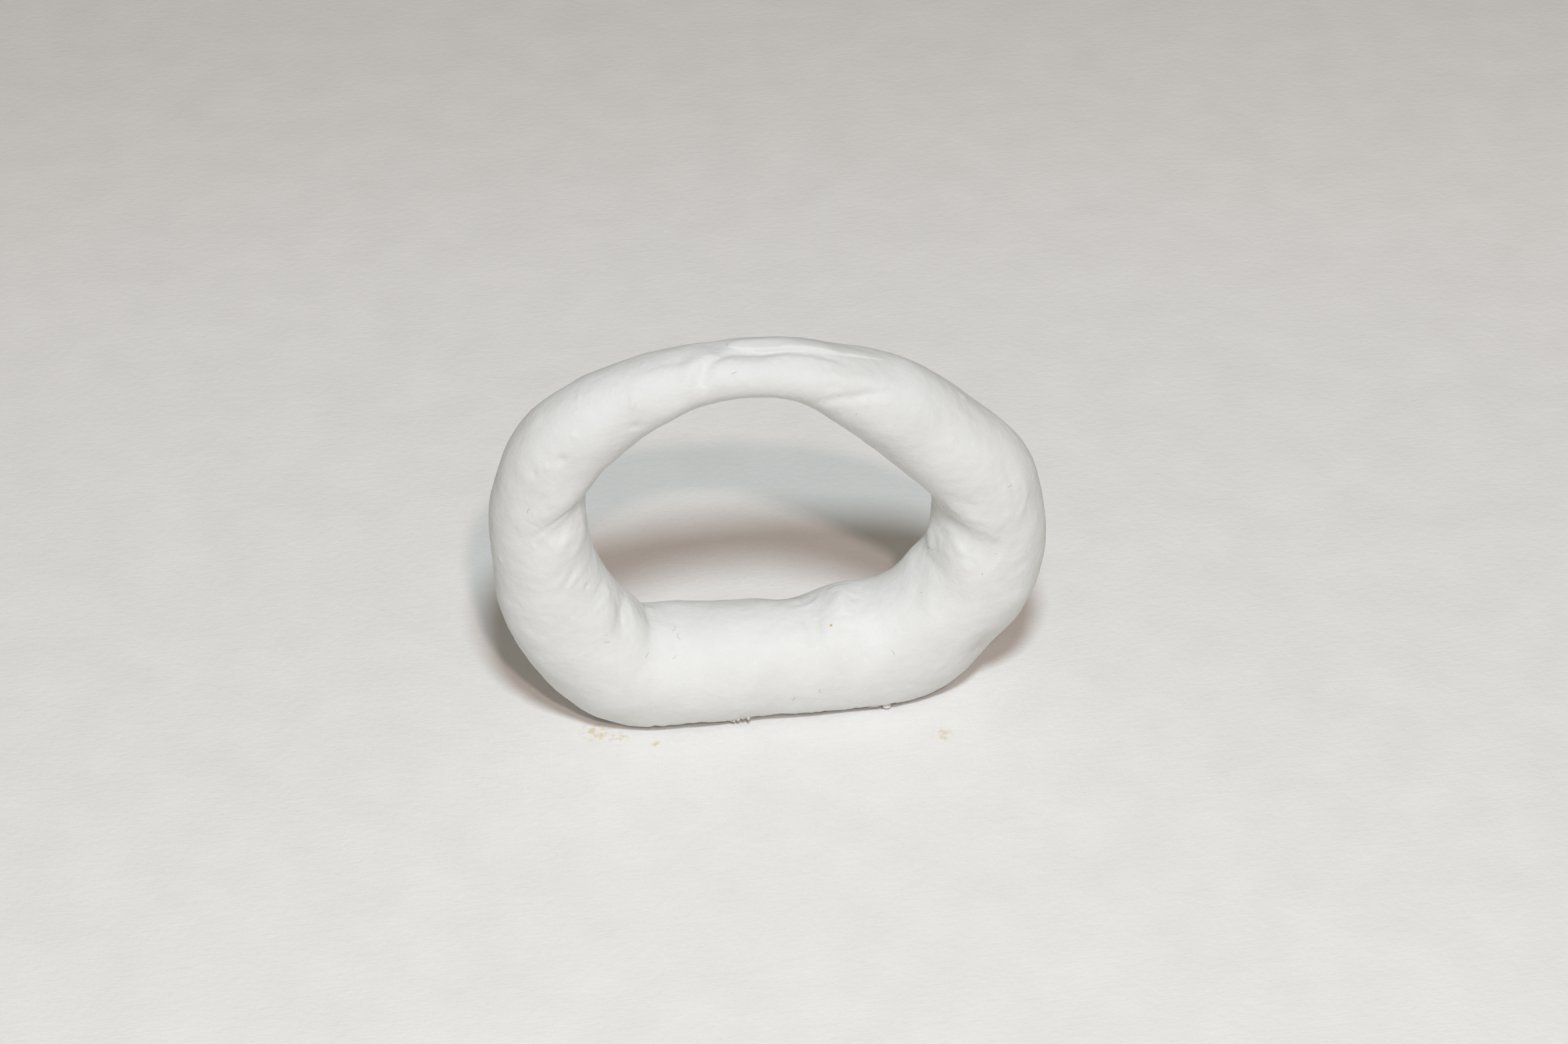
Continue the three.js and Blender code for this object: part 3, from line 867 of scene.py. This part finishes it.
def torn_curl(material, rim):
    """A shaving of skin curled up from the rim."""
    low, high = (np.array(corner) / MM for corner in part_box("flash_curl"))
    edge = rim_point(rim, (low[0] + high[0]) / 2)
    rings = []
    for angle in np.linspace(*CURL_SWEEP, CURL_RINGS):
        size = CURL_RADIUS + CURL_UNROLLING * angle
        wide = CURL_HALF_WIDTH * (1 - CURL_TAPER * angle)
        radial = np.array([math.cos(angle), 0, math.sin(angle)])
        section = [(CURL_INNER, -wide), (CURL_OUTER, -wide), (CURL_OUTER, 0),
                   (CURL_OUTER, wide), (CURL_INNER, wide), (CURL_INNER, 0)]
        ring = np.array([edge + CURL_MIDDLE + radial * (size + thick) + (0, side, 0)
                         for thick, side in section])
        rings.append(ring + CURL_RAG[0] * noise(ring, CURL_RAG[1], 73)[:, None])
    claim(swept_piece("flash_curl_skin", material, rings[::-1]), "plaster_flash", "flash_curl")


# Hairs lying on the plaster: place, heading in degrees, length and curl in millimetres.
HAIRS = [
    ((-13.0, -2.1, 12.7), 70, 1.1, 0.9), ((-12.1, -3.3, 12.2), 100, 1.3, -0.9),
    ((-13.5, -5.5, 10.9), 40, 0.7, 0.3), ((-22.1, -6.5, 15.6), 90, 0.7, 0.1),
    ((-5.6, -3.6, 52.5), 20, 0.8, 0.2), ((28.5, -5.9, 33.3), 95, 0.8, 0.1),
    ((5.1, -7.8, 5.7), 80, 0.8, 0.6), ((-30.4, -5.4, 36.4), 140, 0.9, 0.7),
    ((14.6, -7.4, 9.4), 60, 0.8, 0.4), ((-17.5, -5.2, 11.4), 95, 0.9, 0.2),
    ((1.9, -7.9, 4.4), 60, 0.6, 0.5),
]

# A hair's steps and sides, its radius, and how high its line starts and comes to rest above the
# plaster, in millimetres.
HAIR_STEPS = 12
HAIR_SIDES = 5
HAIR_RADIUS = 0.018
HAIR_START = 0.03
HAIR_REST = 0.02

# Places of the small dark grains, and the place and radii of the one ochre grain.
GRAINS = [(-22.1, -5.4, 16.1), (17.8, -4.4, 17.2), (25.6, -7.0, 21.0), (27.2, -7.1, 23.8),
          (31.0, -5.4, 23.0), (24.0, -2.6, 31.5), (-12.4, -6.8, 8.0), (9.6, -6.2, 46.2)]
OCHRE_PLACE = (7.0, -3.7, 12.1)
OCHRE_RADII = (0.17, 0.13, 0.13)


def hair_mesh(flat, facing, material):
    """All the hairs as one piece of fine tubes."""
    points, faces = [], []
    for place, heading, length, curl in HAIRS:
        row = nearest(flat, place)
        up = facing[row]
        side = np.cross(up, (0, -1, 0.3))
        side /= np.linalg.norm(side)
        ahead = np.cross(up, side)
        turn = math.radians(heading) + curl * np.linspace(-1.2, 1.2, HAIR_STEPS)
        steps = np.cos(turn)[:, None] * side + np.sin(turn)[:, None] * ahead
        line = flat[row] + up * HAIR_START + np.cumsum(steps, axis=0) * length / HAIR_STEPS
        rows = [nearest(flat, p) for p in line]
        lifts = [HAIR_REST - facing[row] @ (p - flat[row]) for row, p in zip(rows, line)]
        line = line + facing[rows] * np.array(lifts)[:, None]
        along = line_directions(line)
        hair = []
        for p, way in zip(line, along):
            across = np.cross(up, way)
            for angle in np.arange(HAIR_SIDES) * 2 * np.pi / HAIR_SIDES:
                hair.append(p + HAIR_RADIUS * (math.cos(angle) * across + math.sin(angle) * up))
        hair.extend([line[0], line[-1]])
        tube = tube_faces(hair, HAIR_STEPS, HAIR_SIDES)
        faces.extend(tuple(i + len(points) for i in face) for face in tube)
        points.extend(hair)
    claim(add_mesh("loose_hairs", points, faces, material), "plaster_bar")


# --------------------------------------------------------------------- camera, light and floor

# The camera: lens and sensor in millimetres, what it looks at from the middle of the ring in
# millimetres, its bearing in degrees, and its distance in metres.
LENS = 90
SENSOR = 36
CAMERA_AIM = (1.7, 0, -0.2)
CAMERA_AZIMUTH = -9.0
CAMERA_ELEVATION = 37.0
CAMERA_DISTANCE = 0.4906

# The floor, in millimetres: half its side, and how far it is below the ring.
FLOOR_HALF = 2000.0
FLOOR_DROP = 0.01


def from_bearing(azimuth, elevation, distance):
    """An offset from what is looked at: azimuth 0 is in front, turning towards +X."""
    a, e = math.radians(azimuth), math.radians(elevation)
    return Vector((math.sin(a) * math.cos(e), -math.cos(a) * math.cos(e), math.sin(e))) * distance


def add_camera(middle):
    data = bpy.data.cameras.new("camera")
    data.lens = LENS
    data.sensor_width = SENSOR
    data.clip_start = 0.01
    camera = bpy.data.objects.new("camera", data)
    aim = middle + Vector(CAMERA_AIM) * MM
    camera.location = aim + from_bearing(CAMERA_AZIMUTH, CAMERA_ELEVATION, CAMERA_DISTANCE)
    camera.rotation_euler = (aim - camera.location).to_track_quat("-Z", "Y").to_euler()
    bpy.context.scene.collection.objects.link(camera)
    bpy.context.scene.camera = camera


def add_light(name, azimuth, elevation, distance, spread, power, color):
    """A round soft light that looks spread degrees wide from the ring."""
    data = bpy.data.lights.new(name, "AREA")
    data.shape = "DISK"
    data.size = 2 * distance * math.tan(math.radians(spread / 2))
    data.energy = power
    data.color = color
    light = bpy.data.objects.new(name, data)
    light.location = from_bearing(azimuth, elevation, distance)
    light.rotation_euler = (-light.location).to_track_quat("-Z", "Y").to_euler()
    light.visible_camera = False
    bpy.context.scene.collection.objects.link(light)


def add_world(color, strength):
    world = bpy.data.worlds.new("studio")
    world.use_nodes = True
    background = world.node_tree.nodes["Background"]
    background.inputs["Color"].default_value = (*color, 1)
    background.inputs["Strength"].default_value = strength
    bpy.context.scene.world = world


def add_floor(material):
    corners = [(-1, -1), (1, -1), (1, 1), (-1, 1)]
    points = [(x * FLOOR_HALF, y * FLOOR_HALF, -FLOOR_DROP) for x, y in corners]
    add_mesh("cloth", points, [(0, 1, 2, 3)], material)


add_camera((cad_low + cad_high) / 2)
add_light("main_light", -4, 60.0, 0.62, 8.5, 2.40, (0.84, 0.94, 1.0))
add_light("warm_light", 1, 47.0, 1.5, 3.0, 5.6, (1.0, 0.79, 0.73))
add_world((1.0, 0.915, 0.79), 0.25)
add_floor(cloth_material())
bpy.context.scene.view_settings.view_transform = "Standard"

surface, normals, centre, starts = shaped_surface()
flat, facing = surface.reshape(-1, 3), normals.reshape(-1, 3)
ends = starts[1:] + [len(surface)]
plaster = plaster_material()
for (lump, slot, _, _), first, last in zip(LUMPS, starts, ends):
    ring_piece(lump, slot, plaster, surface, normals, centre, first, last)

skin = skin_material()
lap_lip(plaster, surface, normals, centre)

# The bead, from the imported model's: how far it is moved into the corner, in millimetres, how much
# it is grown, and its unevenness.
BEAD_SHIFT = (-0.50, 1.15, -0.85)
BEAD_GROWTH = (0.95, 1.2, 1.2)
BEAD_ROUGHNESS = 0.28
bead_low, bead_high = (np.array(corner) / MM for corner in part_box("corner_bead"))
bead_size = (bead_high - bead_low) / 2
bead_middle = (bead_low + bead_high) / 2 + BEAD_SHIFT
bead = blob("corner_bead_plaster", plaster, bead_middle, bead_size * BEAD_GROWTH, BEAD_ROUGHNESS, 81)
claim(bead, "plaster_bead", "corner_bead")

rim = front_rim(surface)
base_flash(skin, rim)
torn_tooth(skin, rim)
torn_curl(skin, rim)
hair_mesh(flat, facing, crumb_material("hair", (0.30, 0.28, 0.26), (0.50, 0.48, 0.44)))
ochre = crumb_material("ochre_grain", (0.50, 0.33, 0.12), (0.66, 0.46, 0.20))
ochre_place = flat[nearest(flat, OCHRE_PLACE)]
claim(blob("ochre_grain", ochre, ochre_place, OCHRE_RADII, 0.3, 91), "plaster_heel")
umber = crumb_material("dark_grain", (0.28, 0.24, 0.19), (0.46, 0.41, 0.34))
for number, place in enumerate(GRAINS):
    size = 0.045 + 0.015 * (number % 3)
    middle = flat[nearest(flat, place)]
    claim(blob(f"dark_grain_{number + 1}", umber, middle, (size, size, 0.8 * size), 0.3, 92 + number),
          "plaster_bar")
